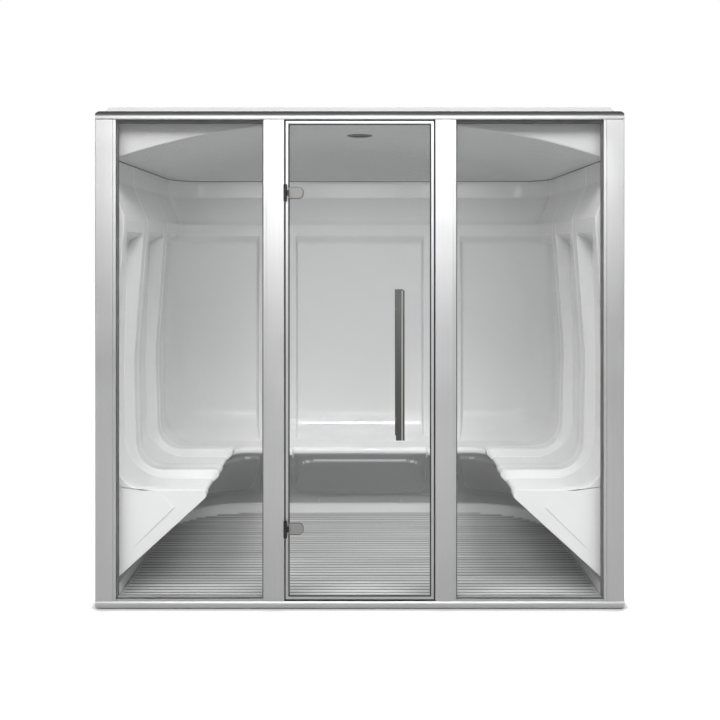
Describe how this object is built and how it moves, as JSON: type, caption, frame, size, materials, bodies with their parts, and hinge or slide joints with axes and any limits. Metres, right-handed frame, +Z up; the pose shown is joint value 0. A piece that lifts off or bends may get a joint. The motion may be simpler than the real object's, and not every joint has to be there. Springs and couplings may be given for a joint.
{
  "type": "steam room",
  "caption": "Modular steam room: moulded white liner with benches round the walls, vaulted ceiling, slatted floor and a framed glass front with a hinged glass door.",
  "frame": {"origin": "on the floor, under the centre of the box round the whole room with its door shut", "axes": "+X to the right as seen from the door, +Y from the glass front into the room, +Z up"},
  "size_m": [2.372, 1.6902, 2.26],
  "materials": {
    "satin_aluminium": "satin anodised",
    "clear_glass": "clear, polished",
    "dark_gasket": "matt",
    "satin_steel": "satin",
    "white_acrylic": "gloss",
    "grey_slats": "matt, ribbed",
    "white_plastic": "matt",
    "lamp_diffuser": "opal",
    "lamp_metal": "satin"
  },
  "bodies": {
    "cabin": {"sill": "satin_aluminium", "header": "satin_aluminium", "left_post": "satin_aluminium", "right_post": "satin_aluminium", "left_mullion": "satin_aluminium", "right_mullion": "satin_aluminium", "left_sill_bead": "satin_aluminium", "right_sill_bead": "satin_aluminium", "door_stop_frame": "satin_aluminium", "left_pane": "clear_glass", "right_pane": "clear_glass", "left_pane_gasket": "dark_gasket", "right_pane_gasket": "dark_gasket", "door_seal": "dark_gasket", "ceiling_gasket": "dark_gasket", "front_left_pad": "dark_gasket", "front_middle_pad": "dark_gasket", "front_right_pad": "dark_gasket", "rear_left_pad": "dark_gasket", "rear_middle_pad": "dark_gasket", "rear_right_pad": "dark_gasket", "lower_hinge_bracket": "satin_steel", "upper_hinge_bracket": "satin_steel", "lower_hinge_pin": "satin_steel", "upper_hinge_pin": "satin_steel", "drain_body": "satin_steel", "drain_cover": "satin_steel", "steam_nozzle": "satin_steel", "steam_inlet_pipe": "satin_steel", "temperature_sensor": "satin_steel", "left_front_module": "white_acrylic", "left_back_module": "white_acrylic", "left_corner_module": "white_acrylic", "rear_module": "white_acrylic", "right_corner_module": "white_acrylic", "right_back_module": "white_acrylic", "right_front_module": "white_acrylic", "ceiling_vault": "white_acrylic", "floor_tray": "white_acrylic", "floor_grating": "grey_slats", "lamp_bezel": "white_plastic", "left_front_rib": "white_plastic", "left_back_rib": "white_plastic", "right_front_rib": "white_plastic", "right_back_rib": "white_plastic", "left_rear_rib": "white_plastic", "right_rear_rib": "white_plastic", "lamp_lens": "lamp_diffuser", "lamp_housing": "lamp_metal"},
    "door": {"door_edge_profile": "satin_aluminium", "door_gasket": "dark_gasket", "door_glass": "clear_glass", "outer_handle": "satin_steel", "inner_handle": "satin_steel", "lower_handle_stud": "satin_steel", "upper_handle_stud": "satin_steel", "lower_hinge_leaf": "satin_steel", "upper_hinge_leaf": "satin_steel", "lower_hinge_clamp": "satin_steel", "upper_hinge_clamp": "satin_steel"}
  },
  "joints": [
    {"name": "door_swing", "type": "hinge", "parent": "cabin", "child": "door", "pos_m": [-0.333, -0.80285, 1.1], "axis": [0, 0, -1], "range_deg": [0, 100]}
  ]
}
